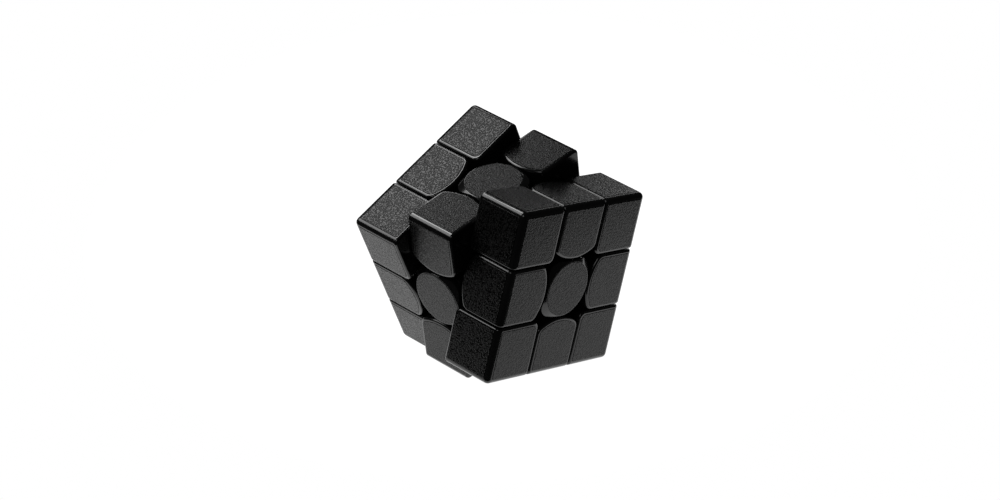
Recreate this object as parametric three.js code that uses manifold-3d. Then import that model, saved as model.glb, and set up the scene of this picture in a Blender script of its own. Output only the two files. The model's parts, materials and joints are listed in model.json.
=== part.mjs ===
// A 3x3x3 cube twisty puzzle with its front and back slices part-turned about one axis.
// Millimetres, +Z up. The turning axis of the two slices is Y, and the front slice faces -Y.
// The puzzle stands on the lowest edges of the turned slices, its origin at the bottom centre of its box.
import * as THREE from "three";
import { mergeVertices } from "three/addons/utils/BufferGeometryUtils.js";
import Module from "manifold-3d";

const wasm = await Module();
wasm.setup();

// ---------------------------------------------------------------- driving dimensions

const SIDE = 57;
const HALF = SIDE / 2;
const CUT = SIDE / 6; // distance of each cutting plane from the puzzle's centre
const GAP = 0.4; // running gap between two cubies' walls
const WALL_LOW = CUT + GAP / 2; // where an outer cubie's inner wall stands
const WALL_SIDE = CUT - GAP / 2; // where a middle cubie's side wall stands

// Turn of each slice from upright, anticlockwise as seen from the front.
const FRONT_TURN = -19;
const MIDDLE_TURN = 5.2;
const BACK_TURN = 18.9;

// Outer surface of the cubies.
const OUTER_FILLET = 2; // along the cube's own edges
const SEAM_FILLET = 0.8; // around the rest of each visible face
const INNER_CORNER_R = 2.2; // corner cubie's edge beside the face centre
const EDGE_ARC_R = 16; // edge cubie's wall that bulges towards the face centre
const EDGE_ARC_LOW = 9.9; // its nearest point to the face centre
const EDGE_ARC_END_R = 2.6;

// The feet run in a spherical track between the core and the cubies.
const TRACK_OUTER_R = 21.5;
const TRACK_INNER_R = 17.5;
const TRACK_GAP = 0.5;
const FOOT_CUT = 7.3; // the cutting planes stand this far out inside the track
const FOOT_LOW = FOOT_CUT + GAP / 2;
const FOOT_SIDE = FOOT_CUT - GAP / 2;
const NECK_TOP_R = 23; // the neck reaches this far out, into the body of an edge cubie

// Centre pieces and what holds them, all measured along the centre's own axis from the puzzle's centre.
const CENTRE_CORNER_R = 5; // the centre is square in plan, with these corners
const STALK_R = 7;
const STALK_CHAMFER = 0.8;
const STALK_LOW = 12.6;
const LEDGE_TOP = 14.8;
const CHAMBER_R = 4.1;
const SHANK_HOLE_R = 1.9;
const CENTRE_TOP = 25.4;

const CAP_LOW = 25.7;
const CAP_RIM_R = 9.1; // the cap's flat round top
const CAP_SKIRT_R = 11.3; // its corners slope down to here
const CAP_SKIRT_HEIGHT = 27;
const CAP_PLUG_R = 3.8;
const CAP_PLUG_LOW = 23.9;

const SHANK_R = 1.5;
const SHANK_LOW = 4.5;
const HEAD_R = 3.2;
const HEAD_LOW = 21.6;
const HEAD_TOP = 23.3;
const SLOT_WIDTH = 0.9;
const SLOT_LENGTH = 4;
const SLOT_DEPTH = 1;

const WASHER_BORE_R = 1.8;
const WASHER_R = 3.4;
const WASHER_THICK = 0.5;
const HEAD_WASHER_LOW = 20.8;
const SEAT_LOW = 15.1;
const SEAT_R = 3.7;

const SPRING_R = 2.7;
const SPRING_WIRE_R = 0.35;
const SPRING_TURNS = 3;
const SPRING_STEPS = 24;
const SPRING_CLEARANCE = 0.3;

const CORE_BALL_R = 8;
const ARM_R = 4.5;
const ARM_TOP = 12.2;
const ARM_HOLE_R = 1.8;
const ARM_HOLE_LOW = 4;

// How finely round things are faceted.
const BALL_DETAIL = 4;
const CORE_DETAIL = 2;
const CAP_SEGMENTS = 20;
const SMALL_SEGMENTS = 12;
const ROUND_SEGMENTS = 3; // for a quarter turn of a large fillet
const SEAM_SEGMENTS = 1;
const EDGE_ARC_SEGMENTS = 6;
const EDGE_ARC_END_SEGMENTS = 2;
const WIRE_SIDES = 5;
const WELD_DISTANCE = 1e-4;

// ---------------------------------------------------------------- materials

const blackPlastic = new THREE.MeshStandardMaterial({ color: 0x101011, roughness: 0.35, metalness: 0 });
const capPlastic = new THREE.MeshStandardMaterial({ color: 0x3a3a3b, roughness: 0.75, metalness: 0 });
const corePlastic = new THREE.MeshStandardMaterial({ color: 0x1c1c1e, roughness: 0.45, metalness: 0 });
const steel = new THREE.MeshStandardMaterial({ color: 0xb9bbbe, roughness: 0.3, metalness: 1 });

// ---------------------------------------------------------------- solids

// A closed three.js geometry as a solid that can be cut and joined.
function solid(geometry) {
  geometry.deleteAttribute("normal");
  geometry.deleteAttribute("uv");
  const merged = mergeVertices(geometry, WELD_DISTANCE);
  return new wasm.Manifold(
    new wasm.Mesh({
      numProp: 3,
      vertProperties: merged.attributes.position.array,
      triVerts: new Uint32Array(merged.index.array),
    }),
  );
}

// A solid back as a three.js geometry.
function geometryOf(made) {
  const mesh = made.getMesh();
  const geometry = new THREE.BufferGeometry();
  geometry.setAttribute("position", new THREE.BufferAttribute(mesh.vertProperties, mesh.numProp));
  geometry.setIndex(new THREE.BufferAttribute(mesh.triVerts, 1));
  geometry.computeVertexNormals();
  return geometry;
}

// Points of an arc, ends included. Angles are in radians, anticlockwise when to is above from.
function arc(x, y, radius, from, to, segments) {
  return Array.from({ length: segments + 1 }, (_, i) => {
    const angle = from + ((to - from) * i) / segments;
    return new THREE.Vector2(x + radius * Math.cos(angle), y + radius * Math.sin(angle));
  });
}

// An outline extruded right through the puzzle. Its own x and y lie along the axes given.
function prism(outline, xAxis, yAxis) {
  const shape = new THREE.Shape(outline);
  const geometry = new THREE.ExtrudeGeometry(shape, { depth: SIDE, bevelEnabled: false });
  geometry.translate(0, 0, -HALF);
  const zAxis = new THREE.Vector3().crossVectors(xAxis, yAxis);
  return solid(geometry.applyMatrix4(new THREE.Matrix4().makeBasis(xAxis, yAxis, zAxis)));
}

function block(low, high) {
  const size = high.clone().sub(low);
  const middle = high.clone().add(low).multiplyScalar(0.5);
  return solid(new THREE.BoxGeometry(size.x, size.y, size.z).translate(middle.x, middle.y, middle.z));
}

function ball(radius, detail) {
  return solid(new THREE.IcosahedronGeometry(radius, detail));
}

// A closed profile of [radius, height] pairs, turned about +Z.
function turned(profile, segments) {
  const points = profile.map(([radius, height]) => new THREE.Vector2(radius, height));
  const geometry = new THREE.LatheGeometry(points, segments);
  return geometry.rotateX(Math.PI / 2);
}

// A round rod from low to high along the direction given.
function rod(radius, low, high, direction, segments) {
  const geometry = new THREE.CylinderGeometry(radius, radius, high - low, segments);
  geometry.translate(0, (low + high) / 2, 0);
  const turn = new THREE.Quaternion().setFromUnitVectors(Y_AXIS, direction.clone().normalize());
  return solid(geometry.applyQuaternion(turn));
}

const X_AXIS = new THREE.Vector3(1, 0, 0);
const Y_AXIS = new THREE.Vector3(0, 1, 0);
const Z_AXIS = new THREE.Vector3(0, 0, 1);

const trackOutside = ball(TRACK_OUTER_R + TRACK_GAP / 2, BALL_DETAIL);
const trackInside = ball(TRACK_INNER_R + TRACK_GAP / 2, BALL_DETAIL);
const footLimit = ball(TRACK_OUTER_R - TRACK_GAP / 2, BALL_DETAIL);
const neckLimit = ball(NECK_TOP_R, BALL_DETAIL);

// ---------------------------------------------------------------- corner cubie, at +X +Y +Z

// Square outline of a corner cubie, rounded at the cube's edge, at two seams and beside the face centre.
function cornerOutline() {
  const inner = WALL_LOW + INNER_CORNER_R;
  const seamHigh = HALF - SEAM_FILLET;
  const seamLow = WALL_LOW + SEAM_FILLET;
  const outer = HALF - OUTER_FILLET;
  return [
    ...arc(inner, inner, INNER_CORNER_R, Math.PI, 1.5 * Math.PI, ROUND_SEGMENTS),
    ...arc(seamHigh, seamLow, SEAM_FILLET, 1.5 * Math.PI, 2 * Math.PI, SEAM_SEGMENTS),
    ...arc(outer, outer, OUTER_FILLET, 0, 0.5 * Math.PI, ROUND_SEGMENTS),
    ...arc(seamLow, seamHigh, SEAM_FILLET, 0.5 * Math.PI, Math.PI, SEAM_SEGMENTS),
  ];
}

function cornerSolid() {
  const outline = cornerOutline();
  const body = prism(outline, X_AXIS, Y_AXIS)
    .intersect(prism(outline, Y_AXIS, Z_AXIS))
    .intersect(prism(outline, Z_AXIS, X_AXIS));
  const foot = block(
    new THREE.Vector3().setScalar(FOOT_LOW),
    new THREE.Vector3().setScalar(TRACK_OUTER_R),
  ).intersect(footLimit);
  return body.add(foot).subtract(trackInside);
}

// ---------------------------------------------------------------- edge cubie, at +X +Z, along Y

// D-shaped outline of an edge cubie's face: x runs along the edge, y away from the face centre.
function edgeFaceOutline() {
  const arcCentre = EDGE_ARC_LOW + EDGE_ARC_R;
  const endX = WALL_SIDE - EDGE_ARC_END_R;
  const reach = EDGE_ARC_R - EDGE_ARC_END_R;
  const endY = arcCentre - Math.sqrt(reach * reach - endX * endX);
  const endAngle = Math.atan2(endY - arcCentre, endX);
  const seamX = WALL_SIDE - SEAM_FILLET;
  const seamY = HALF - SEAM_FILLET;
  return [
    ...arc(0, arcCentre, EDGE_ARC_R, -Math.PI - endAngle, endAngle, EDGE_ARC_SEGMENTS),
    ...arc(endX, endY, EDGE_ARC_END_R, endAngle, 0, EDGE_ARC_END_SEGMENTS).slice(1),
    ...arc(seamX, seamY, SEAM_FILLET, 0, 0.5 * Math.PI, SEAM_SEGMENTS),
    ...arc(-seamX, seamY, SEAM_FILLET, 0.5 * Math.PI, Math.PI, SEAM_SEGMENTS),
    ...arc(-endX, endY, EDGE_ARC_END_R, Math.PI, Math.PI - endAngle, EDGE_ARC_END_SEGMENTS).slice(0, -1),
  ];
}

// Outline of an edge cubie seen along the edge.
function edgeEndOutline() {
  const seamHigh = HALF - SEAM_FILLET;
  const seamLow = WALL_LOW + SEAM_FILLET;
  const outer = HALF - OUTER_FILLET;
  return [
    new THREE.Vector2(WALL_LOW, WALL_LOW),
    ...arc(seamHigh, seamLow, SEAM_FILLET, 1.5 * Math.PI, 2 * Math.PI, SEAM_SEGMENTS),
    ...arc(outer, outer, OUTER_FILLET, 0, 0.5 * Math.PI, ROUND_SEGMENTS),
    ...arc(seamLow, seamHigh, SEAM_FILLET, 0.5 * Math.PI, Math.PI, SEAM_SEGMENTS),
  ];
}

function edgeSolid() {
  const face = edgeFaceOutline();
  const body = prism(edgeEndOutline(), Z_AXIS, X_AXIS)
    .intersect(prism(face, Y_AXIS, Z_AXIS))
    .intersect(prism(face, Y_AXIS, X_AXIS))
    .subtract(trackOutside);
  const neck = block(
    new THREE.Vector3(WALL_LOW, -FOOT_SIDE, WALL_LOW),
    new THREE.Vector3(NECK_TOP_R, FOOT_SIDE, NECK_TOP_R),
  ).intersect(neckLimit);
  const foot = block(
    new THREE.Vector3(FOOT_LOW, -FOOT_SIDE, FOOT_LOW),
    new THREE.Vector3(TRACK_OUTER_R, FOOT_SIDE, TRACK_OUTER_R),
  ).intersect(footLimit);
  return body.add(neck.add(foot).subtract(trackInside));
}

// ---------------------------------------------------------------- centre piece and its fittings, along +Z

// A centre's square plan, between two heights.
function centrePlan(low, high) {
  const corner = WALL_SIDE - CENTRE_CORNER_R;
  const outline = [0, 1, 2, 3].flatMap((quarter) => {
    const from = (quarter * Math.PI) / 2;
    const x = corner * Math.sign(Math.cos(from + Math.PI / 4));
    const y = corner * Math.sign(Math.sin(from + Math.PI / 4));
    return arc(x, y, CENTRE_CORNER_R, from, from + Math.PI / 2, ROUND_SEGMENTS);
  });
  const shape = new THREE.Shape(outline);
  const geometry = new THREE.ExtrudeGeometry(shape, { depth: high - low, bevelEnabled: false });
  return solid(geometry.translate(0, 0, low));
}

function centreGeometry() {
  const body = centrePlan(WALL_LOW, CENTRE_TOP).subtract(trackOutside);
  const stalk = solid(
    turned(
      [
        [0, STALK_LOW],
        [STALK_R - STALK_CHAMFER, STALK_LOW],
        [STALK_R, STALK_LOW + STALK_CHAMFER],
        [STALK_R, CENTRE_TOP],
        [0, CENTRE_TOP],
      ],
      CAP_SEGMENTS,
    ),
  );
  const chamber = rod(CHAMBER_R, LEDGE_TOP, HALF, Z_AXIS, SMALL_SEGMENTS);
  const shankHole = rod(SHANK_HOLE_R, ARM_TOP, HALF, Z_AXIS, SMALL_SEGMENTS);
  return geometryOf(body.add(stalk).subtract(chamber).subtract(shankHole));
}

function capGeometry() {
  const skirt = solid(
    turned(
      [
        [0, CAP_LOW],
        [CAP_SKIRT_R, CAP_LOW],
        [CAP_SKIRT_R, CAP_SKIRT_HEIGHT],
        [CAP_RIM_R, HALF],
        [0, HALF],
      ],
      CAP_SEGMENTS,
    ),
  );
  const plug = rod(CAP_PLUG_R, CAP_PLUG_LOW, CAP_SKIRT_HEIGHT, Z_AXIS, SMALL_SEGMENTS);
  return geometryOf(centrePlan(CAP_LOW, HALF).intersect(skirt).add(plug));
}

function screwGeometry() {
  const blank = solid(
    turned(
      [
        [0, SHANK_LOW],
        [SHANK_R / 2, SHANK_LOW],
        [SHANK_R, SHANK_LOW + SHANK_R],
        [SHANK_R, HEAD_LOW],
        [HEAD_R, HEAD_LOW],
        [HEAD_R, HEAD_TOP],
        [0, HEAD_TOP],
      ],
      SMALL_SEGMENTS,
    ),
  );
  const floor = HEAD_TOP - SLOT_DEPTH;
  const across = block(
    new THREE.Vector3(-SLOT_LENGTH / 2, -SLOT_WIDTH / 2, floor),
    new THREE.Vector3(SLOT_LENGTH / 2, SLOT_WIDTH / 2, HEAD_TOP + SLOT_DEPTH),
  );
  const along = block(
    new THREE.Vector3(-SLOT_WIDTH / 2, -SLOT_LENGTH / 2, floor),
    new THREE.Vector3(SLOT_WIDTH / 2, SLOT_LENGTH / 2, HEAD_TOP + SLOT_DEPTH),
  );
  return geometryOf(blank.subtract(across.add(along)));
}

function washerGeometry(low, radius) {
  return turned(
    [
      [WASHER_BORE_R, low],
      [radius, low],
      [radius, low + WASHER_THICK],
      [WASHER_BORE_R, low + WASHER_THICK],
      [WASHER_BORE_R, low],
    ],
    SMALL_SEGMENTS,
  );
}

class Helix extends THREE.Curve {
  constructor(low, high) {
    super();
    this.low = low;
    this.high = high;
  }
  getPoint(t) {
    const angle = 2 * Math.PI * SPRING_TURNS * t;
    const height = this.low + (this.high - this.low) * t;
    return new THREE.Vector3(SPRING_R * Math.cos(angle), SPRING_R * Math.sin(angle), height);
  }
}

function springGeometry() {
  const low = SEAT_LOW + WASHER_THICK + SPRING_CLEARANCE + SPRING_WIRE_R;
  const high = HEAD_WASHER_LOW - SPRING_CLEARANCE - SPRING_WIRE_R;
  const lastSide = 2 * Math.PI * (1 - 1 / WIRE_SIDES);
  const section = new THREE.Shape(arc(0, 0, SPRING_WIRE_R, 0, lastSide, WIRE_SIDES - 1));
  return new THREE.ExtrudeGeometry(section, {
    steps: SPRING_STEPS,
    bevelEnabled: false,
    extrudePath: new Helix(low, high),
  });
}

// ---------------------------------------------------------------- core

function coreGeometry() {
  const ways = [X_AXIS, Y_AXIS, Z_AXIS].flatMap((axis) => [axis, axis.clone().negate()]);
  let core = ball(CORE_BALL_R, CORE_DETAIL);
  for (const way of ways) core = core.add(rod(ARM_R, 0, ARM_TOP, way, SMALL_SEGMENTS));
  for (const way of ways) {
    core = core.subtract(rod(ARM_HOLE_R, ARM_HOLE_LOW, STALK_LOW, way, SMALL_SEGMENTS));
  }
  return geometryOf(core);
}

// ---------------------------------------------------------------- assembly

const FACES = {
  front: new THREE.Vector3(0, -1, 0),
  back: new THREE.Vector3(0, 1, 0),
  up: new THREE.Vector3(0, 0, 1),
  down: new THREE.Vector3(0, 0, -1),
  left: new THREE.Vector3(-1, 0, 0),
  right: new THREE.Vector3(1, 0, 0),
};

function slice(turn) {
  const group = new THREE.Group();
  group.rotation.y = THREE.MathUtils.degToRad(-turn);
  return group;
}

const slices = { front: slice(FRONT_TURN), middle: slice(MIDDLE_TURN), back: slice(BACK_TURN) };

// Adds a copy of a piece, with its own x and z axes lying along the directions given.
function place(name, geometry, material, sliceName, xAxis, zAxis) {
  const mesh = new THREE.Mesh(geometry, material);
  mesh.name = name;
  const yAxis = new THREE.Vector3().crossVectors(zAxis, xAxis);
  mesh.quaternion.setFromRotationMatrix(new THREE.Matrix4().makeBasis(xAxis, yAxis, zAxis));
  slices[sliceName].add(mesh);
}

// The slice that a piece belongs to, from the faces it shows.
function sliceOf(faces) {
  return faces.find((face) => face in slices) ?? "middle";
}

function addCentres() {
  const centre = centreGeometry();
  const cap = capGeometry();
  const screw = screwGeometry();
  const headWasher = washerGeometry(HEAD_WASHER_LOW, WASHER_R);
  const seat = washerGeometry(SEAT_LOW, SEAT_R);
  const spring = springGeometry();
  for (const [face, normal] of Object.entries(FACES)) {
    const side = Math.abs(normal.x) > 0 ? Y_AXIS : X_AXIS;
    const own = sliceOf([face]);
    place(`centre_${face}`, centre, blackPlastic, own, side, normal);
    place(`centre_cap_${face}`, cap, capPlastic, own, side, normal);
    place(`spring_seat_${face}`, seat, steel, "middle", side, normal);
    place(`spring_${face}`, spring, steel, "middle", side, normal);
    place(`screw_washer_${face}`, headWasher, steel, "middle", side, normal);
    place(`screw_${face}`, screw, steel, "middle", side, normal);
  }
}

function addEdges() {
  const edge = geometryOf(edgeSolid());
  const names = Object.keys(FACES);
  names.forEach((first, i) => {
    for (const second of names.slice(i + 1)) {
      const [x, z] = [FACES[first], FACES[second]];
      if (x.dot(z) !== 0) continue;
      place(`edge_${first}_${second}`, edge, blackPlastic, sliceOf([first, second]), x, z);
    }
  });
}

function addCorners() {
  const corner = geometryOf(cornerSolid());
  for (const depth of ["front", "back"])
    for (const height of ["up", "down"])
      for (const side of ["left", "right"]) {
        // A corner looks the same along its three axes, so they are only taken in right-handed order.
        const [x, y, z] = [FACES[side], FACES[depth], FACES[height]];
        const rightHanded = new THREE.Vector3().crossVectors(x, y).dot(z) > 0;
        place(`corner_${depth}_${height}_${side}`, corner, blackPlastic, depth, rightHanded ? x : y, z);
      }
}

place("core", coreGeometry(), corePlastic, "middle", X_AXIS, Z_AXIS);
addCentres();
addEdges();
addCorners();

const puzzle = new THREE.Group();
puzzle.add(...Object.values(slices));
puzzle.position.z = -new THREE.Box3().setFromObject(puzzle, true).min.z;

export default puzzle;
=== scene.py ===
"""The looks of a cube twisty puzzle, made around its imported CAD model.

Shapes are worked out in millimetres about the puzzle's centre, with the piece in a plain position: a corner
cubie at +X +Y +Z, an edge cubie at +X +Z and a centre piece along +Z. place() then puts a copy where the CAD
model has it.
"""

import json
import math

import bmesh
import bpy
from mathutils import Matrix, Vector

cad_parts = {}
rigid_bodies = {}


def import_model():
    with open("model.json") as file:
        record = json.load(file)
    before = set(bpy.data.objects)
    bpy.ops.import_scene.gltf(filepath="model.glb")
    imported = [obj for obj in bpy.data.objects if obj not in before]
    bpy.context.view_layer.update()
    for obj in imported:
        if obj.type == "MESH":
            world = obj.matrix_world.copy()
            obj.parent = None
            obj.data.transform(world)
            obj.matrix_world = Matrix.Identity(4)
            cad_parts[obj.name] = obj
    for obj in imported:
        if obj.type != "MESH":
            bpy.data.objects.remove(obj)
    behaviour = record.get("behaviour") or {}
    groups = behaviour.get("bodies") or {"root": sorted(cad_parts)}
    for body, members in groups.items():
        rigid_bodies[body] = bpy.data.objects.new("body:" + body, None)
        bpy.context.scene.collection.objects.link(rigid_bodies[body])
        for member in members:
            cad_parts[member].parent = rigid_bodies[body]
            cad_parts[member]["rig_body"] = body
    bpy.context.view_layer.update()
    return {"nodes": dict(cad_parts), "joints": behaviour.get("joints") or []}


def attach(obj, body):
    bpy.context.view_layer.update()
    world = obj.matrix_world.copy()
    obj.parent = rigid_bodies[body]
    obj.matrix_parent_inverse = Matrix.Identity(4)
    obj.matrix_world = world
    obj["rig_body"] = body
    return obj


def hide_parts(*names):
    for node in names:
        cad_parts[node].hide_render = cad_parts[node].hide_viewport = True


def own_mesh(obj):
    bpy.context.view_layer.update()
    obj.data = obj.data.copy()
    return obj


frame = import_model()
SCENE = bpy.context.scene

MM = 0.001
JOINTS = {joint["name"]: joint for joint in frame["joints"]}
NODES = frame["nodes"]
CENTRE = Vector(JOINTS["front_slice_turn"]["pos_m"])

# ------------------------------------------------ driving dimensions, in millimetres and degrees

# The whole puzzle
HALF = 28.5
CUT = 9.5
GAP = 0.4
WALL_LOW = CUT + GAP / 2  # walls beyond a cut
WALL_SIDE = CUT - GAP / 2  # walls short of a cut
PAST = 1  # how far a cutter runs past the surface, and a joined part into the body
SLICE_TURN = {"front": -19.0, "middle": 5.2, "back": 18.9}  # anticlockwise from the front

# The outer bodies of corner and edge cubies
OUTER_FILLET = 1.8
SEAM_FILLET = 0.8
END_FILLET = 0.999 * SEAM_FILLET  # a hair less, so that it never coincides with the fillet it meets
INNER_CORNER_R = 2.2
EDGE_ARC_R = 16.0
EDGE_ARC_LOW = 9.9
EDGE_ARC_END_R = 2.6

# The spherical track, and the feet and necks in it
TRACK_IN = 17.75
TRACK_OUT = 21.75
FOOT_OUT = 21.25
NECK_OUT = 23.0
FOOT_LOW = 7.5
FOOT_SIDE = 7.1
FOOT_FILLET = 0.4

# The textured tiles
TILE_PROUD = 0.12
TILE_DEEP = 0.7
TILE_GROOVE = 0.07
TILE_LIFT = 0.01
TILE_ROUND = 0.15
TILE_INSET_SEAM = 1.0
TILE_INSET_OUTER = 1.9
TILE_CORNER_R = 0.6
TILE_INNER_R = 1.9
TILE_ARC_END_R = 2.0
BODY_HALF = HALF - TILE_PROUD

# Centre pieces and their caps
CENTRE_CORNER_R = 5.0
CENTRE_TOP = 25.4
CENTRE_SEAM_FILLET = 0.15
STALK_R = 7.0
STALK_LOW = 12.6
STALK_FILLET = 0.8
LEDGE_TOP = 14.8
LEDGE_FILLET = 0.2
CHAMBER_R = 4.1
CHAMBER_FILLET = 0.3
SHANK_HOLE_R = 1.9
CAP_LOW = 25.45
CAP_FILLET = 0.3
CAP_RIM_R = 9.1
CAP_RIM_FILLET = 0.5
CAP_SKIRT_R = 11.3
CAP_SKIRT_HEIGHT = 27.0
CAP_TILE_R = 8.9
CAP_PLUG_R = 3.8
CAP_PLUG_LOW = 23.9
CAP_PLUG_FILLET = 0.4

# Screws
SHANK_R = 1.5
SHANK_LOW = 4.5
THREAD_ROOT_R = 1.15
THREAD_PITCH = 1.1
THREAD_TOP = 12.4
HEAD_R = 3.2
HEAD_LOW = 21.3
HEAD_TOP = 23.3
HEAD_NECK_FILLET = 0.15
HEAD_RIM_FILLET = 0.2
HEAD_CROWN_FILLET = 0.9
SLOT_WIDTH = 0.9
SLOT_LENGTH = 4.0
SLOT_DEPTH = 1.0
SLOT_FILLET = 0.18

# Screw washers and spring seats
WASHER_BORE_R = 1.8
WASHER_R = 3.4
WASHER_THICK = 0.5
WASHER_FILLET = 0.12
HEAD_WASHER_LOW = 20.8
SEAT_LOW = 15.1
SEAT_R = 3.7

# Springs
SPRING_R = 2.7
SPRING_WIRE_R = 0.35
SPRING_GAP = 0.02  # between each end and its washer, so that they never cut into each other
SPRING_TURNS = 5.0
SPRING_END_TURNS = 1.0

# Core
CORE_BALL_R = 8.0
ARM_R = 4.5
ARM_BASE = 2.7
ARM_TOP = 12.2
ARM_FILLET = 0.4
ARM_FLARE = 1.2
ARM_HOLE_R = 1.6
ARM_HOLE_LOW = 4.0
ARM_HOLE_POINT = 1.0
ARM_HOLE_CHAMFER = 0.6
ARM_HOLE_PAST = 0.1

# How finely round stretches are stepped
ARC_STEPS = 6
LONG_ARC_STEPS = 32
ROUND_STEPS = 96
SMALL_ROUND_STEPS = 48
WIRE_STEPS = 12
SPRING_STEPS_A_TURN = 36
THREAD_ROWS_A_TURN = 14
BALL_SUBDIVISIONS = 4

FACES = {
    "front": Vector((0, -1, 0)),
    "back": Vector((0, 1, 0)),
    "up": Vector((0, 0, 1)),
    "down": Vector((0, 0, -1)),
    "left": Vector((-1, 0, 0)),
    "right": Vector((1, 0, 0)),
}
X_AXIS, Y_AXIS, Z_AXIS = Vector((1, 0, 0)), Vector((0, 1, 0)), Vector((0, 0, 1))


# ------------------------------------------------ mesh tools


def made(name, bm):
    """An object of that bmesh, in the scene."""
    bmesh.ops.recalc_face_normals(bm, faces=bm.faces[:])
    mesh = bpy.data.meshes.new(name)
    bm.to_mesh(mesh)
    bm.free()
    piece = bpy.data.objects.new(name, mesh)
    SCENE.collection.objects.link(piece)
    return piece


def discard(piece):
    mesh = piece.data
    bpy.data.objects.remove(piece)
    bpy.data.meshes.remove(mesh)


def apply_modifiers(piece):
    """Swaps the piece's mesh for the one its modifiers make."""
    evaluated = piece.evaluated_get(bpy.context.evaluated_depsgraph_get())
    result = bpy.data.meshes.new_from_object(evaluated)
    piece.modifiers.clear()
    old = piece.data
    piece.data = result
    bpy.data.meshes.remove(old)
    return piece


def boolean(piece, other, operation):
    modifier = piece.modifiers.new("boolean", "BOOLEAN")
    modifier.operation = operation
    modifier.solver = "EXACT"
    modifier.object = other
    apply_modifiers(piece)
    discard(other)
    return piece


def shade(piece, sharp_angle=40):
    """Smooth shading over the fillets, with flat faces kept flat."""
    mesh = piece.data
    mesh.shade_smooth()
    mesh.set_sharp_from_angle(angle=math.radians(sharp_angle))
    modifier = piece.modifiers.new("normals", "WEIGHTED_NORMAL")
    modifier.keep_sharp = True
    return apply_modifiers(piece)


def arc(x, y, radius, start, end, steps=ARC_STEPS):
    """Points of an arc from one angle to another, in degrees."""
    angles = [math.radians(start + (end - start) * i / steps) for i in range(steps + 1)]
    return [(x + radius * math.cos(a), y + radius * math.sin(a)) for a in angles]


def filleted(corners):
    """A closed outline of (x, y, fillet) corners, with each fillet as an arc."""
    points = []
    for i, (x, y, fillet) in enumerate(corners):
        corner = Vector((x, y))
        if not fillet:
            points.append((x, y))
            continue
        before = (Vector(corners[i - 1][:2]) - corner).normalized()
        after = (Vector(corners[(i + 1) % len(corners)][:2]) - corner).normalized()
        half_angle = before.angle(after) / 2
        middle = corner + (before + after).normalized() * fillet / math.sin(half_angle)
        first = corner + before * fillet / math.tan(half_angle) - middle
        last = corner + after * fillet / math.tan(half_angle) - middle
        turn = first.angle_signed(last)
        for step in range(ARC_STEPS + 1):
            point = middle + Matrix.Rotation(-turn * step / ARC_STEPS, 2) @ first
            points.append((point.x, point.y))
    return points


def rolled_end(fillet, height, side):
    """Inset and height of each ring of a prism's end, from wall to face. side is -1 at the low end, or 1."""
    if not fillet:
        return [(0, height)]
    turns = [math.radians(90 * i / ARC_STEPS) for i in range(ARC_STEPS + 1)]
    return [(fillet * (1 - math.cos(t)), height - side * fillet * (1 - math.sin(t))) for t in turns]


def prism(name, outline, low, high, ends=(0, 0), axes=(X_AXIS, Y_AXIS)):
    """An outline extruded between two heights, its x and y lying along axes.

    outline(inset) gives the outline's points, moved inwards by inset. ends holds the fillets of the low and
    the high end.
    """
    bm = bmesh.new()
    x_axis, y_axis = axes
    z_axis = x_axis.cross(y_axis)
    loops = []
    for inset, z in rolled_end(ends[0], low, -1)[::-1] + rolled_end(ends[1], high, 1):
        loops.append([bm.verts.new(x_axis * x + y_axis * y + z_axis * z) for x, y in outline(inset)])
    for lower, upper in zip(loops, loops[1:]):
        for i, vert in enumerate(lower):
            bm.faces.new((lower[i - 1], vert, upper[i], upper[i - 1]))
    bm.faces.new(loops[0][::-1])
    bm.faces.new(loops[-1])
    return made(name, bm)


def rounded_box(name, low, high, radius):
    """A box with rolled edges and ball corners."""
    bm = bmesh.new()
    size = Vector(high) - Vector(low)
    middle = (Vector(high) + Vector(low)) / 2
    bmesh.ops.create_cube(bm, size=1, matrix=Matrix.Translation(middle) @ Matrix.Diagonal((*size, 1)))
    bmesh.ops.bevel(bm, geom=bm.edges[:], offset=radius, segments=ARC_STEPS, profile=0.5, affect="EDGES")
    return made(name, bm)


def ball(radius):
    bm = bmesh.new()
    bmesh.ops.create_icosphere(bm, subdivisions=BALL_SUBDIVISIONS, radius=radius)
    return made("ball", bm)


def turned(name, profile, segments=ROUND_STEPS, axis=Z_AXIS):
    """A closed profile of (radius, height) points turned about an axis."""
    bm = bmesh.new()
    across = X_AXIS if abs(axis.x) < 0.5 else Y_AXIS
    sideways = axis.cross(across)
    centre_verts = {}
    columns = []
    for i in range(segments):
        angle = 2 * math.pi * i / segments
        outwards = across * math.cos(angle) + sideways * math.sin(angle)
        column = []
        for j, (radius, height) in enumerate(profile):
            if radius > 0:
                column.append(bm.verts.new(outwards * radius + axis * height))
                continue
            if j not in centre_verts:
                centre_verts[j] = bm.verts.new(axis * height)
            column.append(centre_verts[j])
        columns.append(column)
    for i, column in enumerate(columns):
        next_column = columns[(i + 1) % segments]
        for j in range(len(profile)):
            k = (j + 1) % len(profile)
            corners = list(dict.fromkeys((column[j], next_column[j], next_column[k], column[k])))
            if len(corners) > 2:
                bm.faces.new(corners)
    return made(name, bm)


# ------------------------------------------------ outlines of the faces


def square_outline(low, high, radii):
    """A square with its own radius at each corner, from the low one round anticlockwise."""
    places = ((low, low, 1, 1), (high, low, -1, 1), (high, high, -1, -1), (low, high, 1, -1))

    def outline(inset):
        points = []
        for i, ((x, y, to_x, to_y), radius) in enumerate(zip(places, radii)):
            start = 180 + 90 * i
            points += arc(x + to_x * radius, y + to_y * radius, radius - inset, start, start + 90)
        return points

    return outline


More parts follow.
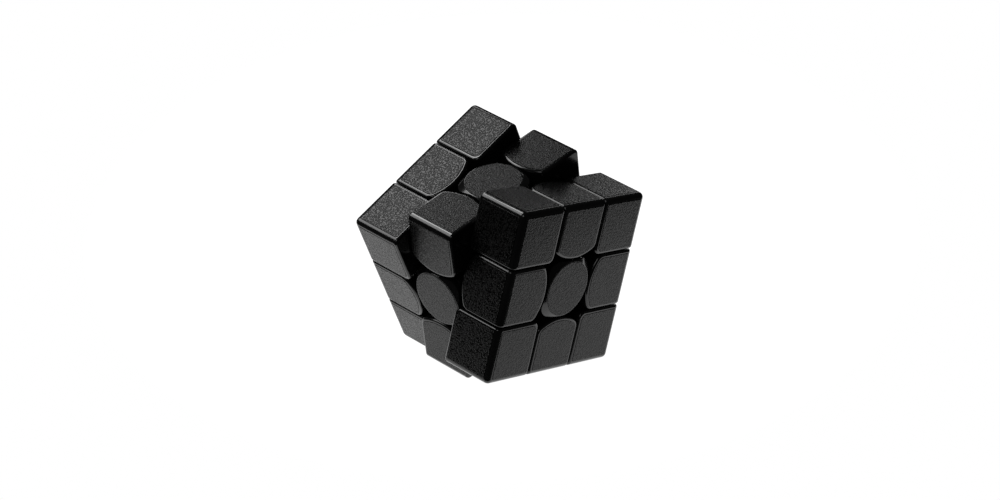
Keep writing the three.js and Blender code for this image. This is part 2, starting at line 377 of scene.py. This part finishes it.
def d_outline(side, top, arc_radius, end_radius, top_radius):
    """A D whose curved side bulges towards the face centre, with y away from that centre."""
    centre_y = EDGE_ARC_LOW + EDGE_ARC_R
    end_x = side - end_radius
    end_y = centre_y - math.sqrt((arc_radius - end_radius) ** 2 - end_x**2)
    end_angle = math.degrees(math.atan2(end_y - centre_y, end_x))
    top_x, top_y = side - top_radius, top - top_radius

    def outline(inset):
        return [
            *arc(0, centre_y, arc_radius - inset, -180 - end_angle, end_angle, LONG_ARC_STEPS),
            *arc(end_x, end_y, end_radius - inset, end_angle, 0)[1:],
            *arc(top_x, top_y, top_radius - inset, 0, 90),
            *arc(-top_x, top_y, top_radius - inset, 90, 180),
            *arc(-end_x, end_y, end_radius - inset, 180, 180 - end_angle)[:-1],
        ]

    return outline


cubie_outline = square_outline(WALL_LOW, BODY_HALF, (INNER_CORNER_R, SEAM_FILLET, OUTER_FILLET, SEAM_FILLET))
corner_tile_outline = square_outline(
    WALL_LOW + TILE_INSET_SEAM,
    HALF - TILE_INSET_OUTER,
    (TILE_INNER_R, TILE_CORNER_R, TILE_CORNER_R, TILE_CORNER_R),
)
edge_outline = d_outline(WALL_SIDE, BODY_HALF, EDGE_ARC_R, EDGE_ARC_END_R, SEAM_FILLET)
edge_tile_outline = d_outline(
    WALL_SIDE - TILE_INSET_SEAM,
    HALF - TILE_INSET_OUTER,
    EDGE_ARC_R - TILE_INSET_SEAM,
    TILE_ARC_END_R,
    TILE_CORNER_R,
)
centre_outline = square_outline(-WALL_SIDE, WALL_SIDE, (CENTRE_CORNER_R,) * 4)


def round_outline(inset):
    return arc(0, 0, CAP_TILE_R - inset, 0, 360, ROUND_STEPS)[:-1]


# ------------------------------------------------ cubies


def inlaid(body, outline, axes):
    """The tile for the face that looks along the cross product of axes. Its pocket is cut into the body."""
    floor = HALF - TILE_DEEP
    pocket = prism("pocket", lambda inset: outline(inset - TILE_GROOVE), floor, HALF + PAST, axes=axes)
    boolean(body, pocket, "DIFFERENCE")
    return shade(prism("tile", outline, floor + TILE_LIFT, HALF, (0, TILE_ROUND), axes))


def corner_cubie():
    """A corner cubie's body, and its tiles by the axis that they face along."""
    body = rounded_box("corner", (CUT / 2,) * 3, (BODY_HALF,) * 3, OUTER_FILLET)
    for axes in ((X_AXIS, Y_AXIS), (Y_AXIS, Z_AXIS), (Z_AXIS, X_AXIS)):
        block = prism("block", cubie_outline, WALL_LOW, BODY_HALF, (END_FILLET, END_FILLET), axes)
        boolean(body, block, "INTERSECT")
    foot = rounded_box("foot", (FOOT_LOW,) * 3, (TRACK_OUT,) * 3, FOOT_FILLET)
    boolean(foot, ball(FOOT_OUT), "INTERSECT")
    boolean(body, foot, "UNION")
    boolean(body, ball(TRACK_IN), "DIFFERENCE")
    tiles = {
        "x": inlaid(body, corner_tile_outline, (Y_AXIS, Z_AXIS)),
        "y": inlaid(body, corner_tile_outline, (Z_AXIS, X_AXIS)),
        "z": inlaid(body, corner_tile_outline, (X_AXIS, Y_AXIS)),
    }
    return shade(body), tiles


def rounded_bar(name, low, high):
    """A bar of the foot's width, which lies along y and is square from low to high."""
    return rounded_box(name, (low, -FOOT_SIDE, low), (high, FOOT_SIDE, high), FOOT_FILLET)


def edge_cubie():
    """An edge cubie's body, and its tiles by the axis that they face along."""
    ends = (0, END_FILLET)
    body = prism("edge", edge_outline, CUT / 2, BODY_HALF, ends, (Y_AXIS, Z_AXIS))
    boolean(body, prism("block", edge_outline, CUT / 2, BODY_HALF, ends, (-Y_AXIS, X_AXIS)), "INTERSECT")
    across = prism("block", cubie_outline, -WALL_SIDE, WALL_SIDE, (END_FILLET, END_FILLET), (Z_AXIS, X_AXIS))
    boolean(body, across, "INTERSECT")
    boolean(body, ball(TRACK_OUT), "DIFFERENCE")
    neck = rounded_bar("neck", WALL_LOW, NECK_OUT)
    boolean(neck, ball(NECK_OUT), "INTERSECT")
    foot = rounded_bar("foot", FOOT_LOW, TRACK_OUT)
    boolean(foot, ball(FOOT_OUT), "INTERSECT")
    boolean(neck, foot, "UNION")
    boolean(neck, ball(TRACK_IN), "DIFFERENCE")
    boolean(body, neck, "UNION")
    tiles = {
        "x": inlaid(body, edge_tile_outline, (Y_AXIS, Z_AXIS)),
        "z": inlaid(body, edge_tile_outline, (-Y_AXIS, X_AXIS)),
    }
    return shade(body), tiles


# ------------------------------------------------ centre pieces and their fittings


def centre_piece():
    """A rounded square body over the track, on a round stalk that holds the screw."""
    body = prism("centre", centre_outline, STALK_R, CENTRE_TOP, (0, CENTRE_SEAM_FILLET))
    boolean(body, ball(TRACK_OUT), "DIFFERENCE")
    stalk = [
        (0, STALK_LOW, 0),
        (STALK_R, STALK_LOW, STALK_FILLET),
        (STALK_R, CENTRE_TOP - PAST, 0),
        (0, CENTRE_TOP - PAST, 0),
    ]
    boolean(body, turned("stalk", filleted(stalk)), "UNION")
    bore = [
        (0, STALK_LOW - PAST, 0),
        (SHANK_HOLE_R, STALK_LOW - PAST, 0),
        (SHANK_HOLE_R, LEDGE_TOP, LEDGE_FILLET),
        (CHAMBER_R, LEDGE_TOP, CHAMBER_FILLET),
        (CHAMBER_R, HALF, 0),
        (0, HALF, 0),
    ]
    return shade(boolean(body, turned("bore", filleted(bore)), "DIFFERENCE"))


def centre_cap():
    """A centre's cap, whose corners slope down from its round rim, and the round tile that lies in it."""
    cap = prism("cap", centre_outline, CAP_LOW, BODY_HALF, (CENTRE_SEAM_FILLET, CAP_FILLET))
    skirt = [
        (0, STALK_LOW, 0),
        (CAP_SKIRT_R, STALK_LOW, 0),
        (CAP_SKIRT_R, CAP_SKIRT_HEIGHT, 0),
        (CAP_RIM_R, BODY_HALF, CAP_RIM_FILLET),
        (0, BODY_HALF, 0),
    ]
    boolean(cap, turned("skirt", filleted(skirt)), "INTERSECT")
    plug = [
        (0, CAP_PLUG_LOW, 0),
        (CAP_PLUG_R, CAP_PLUG_LOW, CAP_PLUG_FILLET),
        (CAP_PLUG_R, CAP_SKIRT_HEIGHT, 0),
        (0, CAP_SKIRT_HEIGHT, 0),
    ]
    boolean(cap, turned("plug", filleted(plug)), "UNION")
    tile = inlaid(cap, round_outline, (X_AXIS, Y_AXIS))
    return shade(cap), tile


def thread_radius(angle, height):
    """The screw's radius there: a sharp ridge winds up a thinner shank, and fades out at both ends."""
    phase = (height / THREAD_PITCH - angle / (2 * math.pi)) % 1
    ridge = max(0.0, 1 - abs(2 * phase - 1) * 2)
    fade = min(1.0, (THREAD_TOP - height) / THREAD_PITCH, (height - SHANK_LOW) / SHANK_R)
    return THREAD_ROOT_R + (SHANK_R - THREAD_ROOT_R) * ridge * max(0.0, fade)


def wind_thread(verts, highest):
    """Moves the verts of a plain shank out to the thread, up to the highest row that has one."""
    for vert in verts:
        across = math.hypot(vert.co.x, vert.co.y)
        if across > THREAD_ROOT_R / 2 and vert.co.z < highest + THREAD_PITCH / THREAD_ROWS_A_TURN / 2:
            wanted = thread_radius(math.atan2(vert.co.y, vert.co.x), vert.co.z)
            vert.co.x *= wanted / across
            vert.co.y *= wanted / across


def screw():
    """A pan-head screw with a cross recess, threaded where it bites into the core."""
    thread_low = SHANK_LOW + SHANK_R
    rows = THREAD_ROWS_A_TURN * round((THREAD_TOP - thread_low) / THREAD_PITCH)
    heights = [thread_low + (THREAD_TOP - thread_low) * i / rows for i in range(rows + 1)]
    head = [
        (SHANK_R, THREAD_TOP, 0),
        (SHANK_R, HEAD_LOW, HEAD_NECK_FILLET),
        (HEAD_R, HEAD_LOW, HEAD_RIM_FILLET),
        (HEAD_R, HEAD_TOP, HEAD_CROWN_FILLET),
        (0, HEAD_TOP, 0),
    ]
    thread = [(THREAD_ROOT_R, z) for z in heights]
    profile = [(0, SHANK_LOW), (THREAD_ROOT_R / 3, SHANK_LOW), *thread, *filleted(head)]
    piece = turned("screw", profile, segments=SMALL_ROUND_STEPS)
    wind_thread(piece.data.vertices, heights[-2])
    for length, width in ((SLOT_LENGTH, SLOT_WIDTH), (SLOT_WIDTH, SLOT_LENGTH)):
        low = (-length / 2, -width / 2, HEAD_TOP - SLOT_DEPTH)
        slot = rounded_box("slot", low, (length / 2, width / 2, HEAD_TOP + SLOT_DEPTH), SLOT_FILLET)
        boolean(piece, slot, "DIFFERENCE")
    return shade(piece)


def washer(low, radius):
    high = low + WASHER_THICK
    corners = [(WASHER_BORE_R, low), (radius, low), (radius, high), (WASHER_BORE_R, high)]
    return shade(turned("washer", filleted([(x, y, WASHER_FILLET) for x, y in corners])))


def spring():
    """A compression spring of round wire, with its last turn closed at each end."""
    low = SEAT_LOW + WASHER_THICK + SPRING_GAP + SPRING_WIRE_R
    high = HEAD_WASHER_LOW - SPRING_GAP - SPRING_WIRE_R
    closed = 2 * SPRING_WIRE_R * SPRING_END_TURNS
    steps = round(SPRING_STEPS_A_TURN * SPRING_TURNS)
    open_turns = SPRING_TURNS - 2 * SPRING_END_TURNS
    bm = bmesh.new()
    rings = []
    for i in range(steps + 1):
        turns = SPRING_TURNS * i / steps
        at_low = min(turns, SPRING_END_TURNS)
        at_high = max(turns - SPRING_TURNS + SPRING_END_TURNS, 0)
        middle = min(max(turns - SPRING_END_TURNS, 0), open_turns) / open_turns
        height = low + (at_low + at_high) * closed / SPRING_END_TURNS
        height += middle * (high - low - 2 * closed)
        angle = 2 * math.pi * turns
        outwards = Vector((math.cos(angle), math.sin(angle), 0))
        ring = []
        for x, z in arc(0, 0, SPRING_WIRE_R, 0, 360, WIRE_STEPS)[:-1]:
            ring.append(bm.verts.new(outwards * (SPRING_R + x) + Z_AXIS * (height + z)))
        rings.append(ring)
    for ring, after in zip(rings, rings[1:]):
        for i in range(len(ring)):
            bm.faces.new((ring[i - 1], ring[i], after[i], after[i - 1]))
    bm.faces.new(rings[0][::-1])
    bm.faces.new(rings[-1])
    return shade(made("spring", bm))


def core():
    """A ball with six flared arms, each drilled for a screw."""
    piece = ball(CORE_BALL_R)
    # The flare touches the ball at one end and the arm at the other.
    flare_r = ARM_R + ARM_FLARE
    flare_height = math.sqrt((CORE_BALL_R + ARM_FLARE) ** 2 - flare_r**2)
    touch_angle = math.degrees(math.atan2(flare_height, flare_r))
    flare = arc(flare_r, flare_height, ARM_FLARE, 180 + touch_angle, 180)
    profile = [
        (0, ARM_BASE),
        (flare[0][0], ARM_BASE),
        *flare,
        *arc(ARM_R - ARM_FILLET, ARM_TOP - ARM_FILLET, ARM_FILLET, 0, 90),
        (0, ARM_TOP),
    ]
    for axis in FACES.values():
        boolean(piece, turned("arm", profile, axis=axis), "UNION")
    hole = [
        (0, ARM_HOLE_LOW),
        (ARM_HOLE_R, ARM_HOLE_LOW + ARM_HOLE_POINT),
        (ARM_HOLE_R, ARM_TOP - ARM_HOLE_CHAMFER),
        (ARM_HOLE_R + ARM_HOLE_CHAMFER + ARM_HOLE_PAST, ARM_TOP + ARM_HOLE_PAST),
        (0, ARM_TOP + ARM_HOLE_PAST),
    ]
    for axis in FACES.values():
        boolean(piece, turned("hole", hole, segments=SMALL_ROUND_STEPS, axis=axis), "DIFFERENCE")
    return shade(piece)


# ------------------------------------------------ materials, their noise in features a metre

GRAIN_SCALE = 2400
GRAIN_EDGE = (0.42, 0.62)
GRAIN_DEPTH = 0.04 * MM
GRAIN_BRIGHTEST = 0.008
GRAIN_ROUGHNESS = (0.24, 0.44)
TILE_SPECULAR = 0.235


def grey(value):
    return (value, value, value)


def node_material(name):
    """A material, its nodes and links, and its shader."""
    material = bpy.data.materials.new(name)
    material.use_nodes = True
    tree = material.node_tree
    return material, tree.nodes, tree.links, tree.nodes["Principled BSDF"]


def noise(nodes, links, scale, detail):
    """Noise that is fixed to the piece."""
    coordinates = nodes.new("ShaderNodeTexCoord")
    texture = nodes.new("ShaderNodeTexNoise")
    texture.inputs["Scale"].default_value = scale
    texture.inputs["Detail"].default_value = detail
    links.new(coordinates.outputs["Object"], texture.inputs["Vector"])
    return texture.outputs["Fac"]


def spread(nodes, links, value, low, high, usual=(0.3, 0.7)):
    """The value's usual range, 0.3 to 0.7 unless told otherwise, spread from low to high."""
    spreader = nodes.new("ShaderNodeMapRange")
    spreader.inputs["From Min"].default_value = usual[0]
    spreader.inputs["From Max"].default_value = usual[1]
    spreader.inputs["To Min"].default_value = low
    spreader.inputs["To Max"].default_value = high
    links.new(value, spreader.inputs["Value"])
    return spreader.outputs["Result"]


def shades(nodes, links, value, dark, light):
    """A colour between two others, by where the value is in its usual range."""
    mixer = nodes.new("ShaderNodeMix")
    mixer.data_type = "RGBA"
    mixer.inputs["A"].default_value = (*dark, 1)
    mixer.inputs["B"].default_value = (*light, 1)
    links.new(spread(nodes, links, value, 0, 1), mixer.inputs["Factor"])
    return mixer.outputs["Result"]


def bump(nodes, links, value, depth):
    """A bumped surface normal, its depth in metres."""
    bumper = nodes.new("ShaderNodeBump")
    bumper.inputs["Strength"].default_value = 1
    bumper.inputs["Distance"].default_value = depth
    links.new(value, bumper.inputs["Height"])
    return bumper.outputs["Normal"]


def gloss_plastic():
    """Glossy black plastic, with faint handling marks."""
    material, nodes, links, shader = node_material("gloss_black_plastic")
    marks = noise(nodes, links, scale=70, detail=4)
    ripple = noise(nodes, links, scale=700, detail=2)
    links.new(shades(nodes, links, marks, grey(0.003), grey(0.006)), shader.inputs["Base Color"])
    links.new(spread(nodes, links, marks, low=0.13, high=0.19), shader.inputs["Roughness"])
    links.new(bump(nodes, links, ripple, depth=0.004 * MM), shader.inputs["Normal"])
    return material


def grained_plastic():
    """Matte black plastic with a fine sandy grain, whose raised spots are paler and rougher."""
    material, nodes, links, shader = node_material("grained_black_plastic")
    grain = spread(nodes, links, noise(nodes, links, GRAIN_SCALE, detail=0), 0, 1, usual=GRAIN_EDGE)
    links.new(shades(nodes, links, grain, grey(0), grey(GRAIN_BRIGHTEST)), shader.inputs["Base Color"])
    links.new(spread(nodes, links, grain, *GRAIN_ROUGHNESS, usual=(0, 1)), shader.inputs["Roughness"])
    shader.inputs["Specular IOR Level"].default_value = TILE_SPECULAR
    links.new(bump(nodes, links, grain, GRAIN_DEPTH), shader.inputs["Normal"])
    return material


def satin_plastic():
    """Satin black nylon, slightly mottled."""
    material, nodes, links, shader = node_material("satin_black_nylon")
    mottle = noise(nodes, links, scale=400, detail=4)
    ripple = noise(nodes, links, scale=2500, detail=2)
    black = shades(nodes, links, mottle, (0.012, 0.012, 0.013), (0.022, 0.022, 0.024))
    links.new(black, shader.inputs["Base Color"])
    links.new(spread(nodes, links, mottle, low=0.38, high=0.5), shader.inputs["Roughness"])
    links.new(bump(nodes, links, ripple, depth=0.01 * MM), shader.inputs["Normal"])
    return material


def plated_steel():
    """Zinc-plated steel, slightly rippled."""
    material, nodes, links, shader = node_material("zinc_plated_steel")
    tint = noise(nodes, links, scale=300, detail=3)
    ripple = noise(nodes, links, scale=4000, detail=2)
    zinc = shades(nodes, links, tint, (0.52, 0.53, 0.55), (0.66, 0.66, 0.65))
    links.new(zinc, shader.inputs["Base Color"])
    links.new(spread(nodes, links, tint, low=0.22, high=0.36), shader.inputs["Roughness"])
    links.new(bump(nodes, links, ripple, depth=0.004 * MM), shader.inputs["Normal"])
    shader.inputs["Metallic"].default_value = 1
    return material


MATERIALS = {
    "body": gloss_plastic(),
    "tile": grained_plastic(),
    "core": satin_plastic(),
    "steel": plated_steel(),
}

# ------------------------------------------------ assembly


def slice_of(faces):
    """The slice that a cubie is in, from the faces that it shows."""
    return next((face for face in faces if face in SLICE_TURN), "middle")


def standing(slice_name, x_axis, z_axis):
    """The matrix that puts a plain piece in its place, with its own x and z axes along those given."""
    turn = Matrix.Rotation(math.radians(-SLICE_TURN[slice_name]), 4, "Y")
    basis = Matrix((x_axis, z_axis.cross(x_axis), z_axis)).transposed().to_4x4()
    return Matrix.Translation(CENTRE) @ turn @ basis @ Matrix.Scale(MM, 4)


def place(plain, name, node, matrix, slot):
    """A copy of a plain piece, which stands for a CAD node or a part of it and rides on the node's body."""
    mesh = plain.data.copy()
    mesh.name = name
    mesh.transform(matrix)
    mesh.materials.clear()
    mesh.materials.append(MATERIALS[slot])
    piece = bpy.data.objects.new(name, mesh)
    SCENE.collection.objects.link(piece)
    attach(piece, NODES[node]["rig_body"])
    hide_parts(node)
    return piece


def place_cubie(plain_body, plain_tiles, node, faces, slice_name):
    """A cubie whose own x, y and z axes point along the faces named."""
    matrix = standing(slice_name, FACES[faces["x"]], FACES[faces["z"]])
    place(plain_body, f"{node}_body", node, matrix, "body")
    for axis, tile in plain_tiles.items():
        place(tile, f"{node}_tile_{faces[axis]}", node, matrix, "tile")


def add_corners():
    body, tiles = corner_cubie()
    for depth in ("front", "back"):
        for height in ("up", "down"):
            for side in ("left", "right"):
                node = f"corner_{depth}_{height}_{side}"
                right_handed = FACES[side].cross(FACES[depth]).dot(FACES[height]) > 0
                x, y = (side, depth) if right_handed else (depth, side)
                place_cubie(body, tiles, node, {"x": x, "y": y, "z": height}, depth)
    for plain in (body, *tiles.values()):
        discard(plain)


def add_edges():
    body, tiles = edge_cubie()
    names = list(FACES)
    for i, first in enumerate(names):
        for second in names[i + 1 :]:
            if FACES[first].dot(FACES[second]) == 0:
                faces = {"x": first, "z": second}
                place_cubie(body, tiles, f"edge_{first}_{second}", faces, slice_of((first, second)))
    for plain in (body, *tiles.values()):
        discard(plain)


def press(piece):
    """Gives a spring its own copy of its mesh."""
    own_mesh(piece)


def add_centres():
    """The centre pieces, each with what fastens it to the core."""
    cap, cap_tile = centre_cap()
    loose = {
        "centre": (centre_piece(), "body"),
        "centre_cap": (cap, "body"),
        "spring_seat": (washer(SEAT_LOW, SEAT_R), "steel"),
        "spring": (spring(), "steel"),
        "screw_washer": (washer(HEAD_WASHER_LOW, WASHER_R), "steel"),
        "screw": (screw(), "steel"),
    }
    for face, normal in FACES.items():
        side = Y_AXIS if abs(normal.x) > 0 else X_AXIS
        own = standing(slice_of((face,)), side, normal)
        fixed = standing("middle", side, normal)
        for kind, (plain, slot) in loose.items():
            node = f"{kind}_{face}"
            on_slice = kind in ("centre", "centre_cap")
            piece = place(plain, f"{node}_body", node, own if on_slice else fixed, slot)
            if kind == "spring":
                press(piece)
        place(cap_tile, f"centre_cap_{face}_tile", f"centre_cap_{face}", own, "tile")
    for plain, _ in loose.values():
        discard(plain)
    discard(cap_tile)


def add_core():
    plain = core()
    place(plain, "core_body", "core", standing("middle", X_AXIS, Z_AXIS), "core")
    discard(plain)


add_core()
add_centres()
add_edges()
add_corners()

# ------------------------------------------------ floor, light and camera, in metres and degrees

FLOOR_R = 0.14
FLOOR_MIDDLE = (0.05, 0.05, 0)  # to the right and behind, which keeps the front slice's left side dark
FLOOR_ROUGHNESS = 0.6
FLOOR_GLOW = 1.03
WORLD_DIM = 0.02
LIGHT_DISTANCE = 1.0

CAMERA_AZIMUTH = -44.8
CAMERA_ELEVATION = 34.3
CAMERA_ROLL = -1.6
CAMERA_DISTANCE = 0.9767
CAMERA_LENS = 112.4
CAMERA_LEFT = 0.000416
CAMERA_UP = 0.00108
CAMERA_NEAR = 0.05


def direction(azimuth, elevation):
    """The way to something seen from the puzzle: azimuth 0 is in front, 90 on the right, 180 behind."""
    turn, rise = math.radians(azimuth), math.radians(elevation)
    return Vector((math.sin(turn) * math.cos(rise), -math.cos(turn) * math.cos(rise), math.sin(rise)))


def add_floor():
    """A round white light table."""
    bm = bmesh.new()
    bmesh.ops.create_circle(bm, cap_ends=True, radius=FLOOR_R, segments=ROUND_STEPS)
    bmesh.ops.translate(bm, verts=bm.verts, vec=Vector(FLOOR_MIDDLE))
    floor = made("floor", bm)
    material, nodes, links, shader = node_material("white_floor")
    mottle = noise(nodes, links, scale=30, detail=3)
    links.new(shades(nodes, links, mottle, grey(0.23), grey(0.27)), shader.inputs["Base Color"])
    shader.inputs["Roughness"].default_value = FLOOR_ROUGHNESS
    shader.inputs["Emission Color"].default_value = (1, 1, 1, 1)
    shader.inputs["Emission Strength"].default_value = FLOOR_GLOW
    floor.data.materials.append(material)


def add_light(name, azimuth, elevation, diameter, power):
    """A round soft light that faces the puzzle, its power in watts."""
    lamp = bpy.data.lights.new(name, "AREA")
    lamp.shape = "DISK"
    lamp.size = diameter
    lamp.energy = power
    light = bpy.data.objects.new(name, lamp)
    way = direction(azimuth, elevation)
    light.location = CENTRE + way * LIGHT_DISTANCE
    light.rotation_euler = way.to_track_quat("Z", "Y").to_euler()
    SCENE.collection.objects.link(light)


def add_world():
    """White behind everything, and nearly dark to the puzzle itself."""
    world = bpy.data.worlds.new("studio")
    world.use_nodes = True
    nodes, links = world.node_tree.nodes, world.node_tree.links
    shown = nodes["Background"]
    shown.inputs["Color"].default_value = (1, 1, 1, 1)
    dim = nodes.new("ShaderNodeBackground")
    dim.inputs["Color"].default_value = (*grey(WORLD_DIM), 1)
    path = nodes.new("ShaderNodeLightPath")
    mixer = nodes.new("ShaderNodeMixShader")
    links.new(path.outputs["Is Camera Ray"], mixer.inputs["Fac"])
    links.new(dim.outputs["Background"], mixer.inputs[1])
    links.new(shown.outputs["Background"], mixer.inputs[2])
    links.new(mixer.outputs["Shader"], nodes["World Output"].inputs["Surface"])
    SCENE.world = world


def add_camera():
    back = direction(CAMERA_AZIMUTH, CAMERA_ELEVATION)
    level_right = Z_AXIS.cross(back).normalized()
    right = Matrix.Rotation(math.radians(CAMERA_ROLL), 3, back) @ level_right
    up = back.cross(right)
    lens = bpy.data.cameras.new("camera")
    lens.lens = CAMERA_LENS
    lens.clip_start = CAMERA_NEAR
    camera = bpy.data.objects.new("camera", lens)
    SCENE.collection.objects.link(camera)
    matrix = Matrix((right, up, back)).transposed().to_4x4()
    matrix.translation = CENTRE + back * CAMERA_DISTANCE - right * CAMERA_LEFT + up * CAMERA_UP
    camera.matrix_world = matrix
    SCENE.camera = camera


add_floor()
add_light("key", azimuth=172, elevation=50, diameter=0.3, power=2.05)
add_light("back", azimuth=204, elevation=41, diameter=0.6, power=3.5)
add_light("side", azimuth=146, elevation=34, diameter=0.22, power=0.78)
add_light("low", azimuth=115, elevation=5, diameter=0.3, power=0.42)
add_light("left", azimuth=-67, elevation=50, diameter=0.5, power=1.1)
add_world()
add_camera()
SCENE.view_settings.view_transform = "Standard"
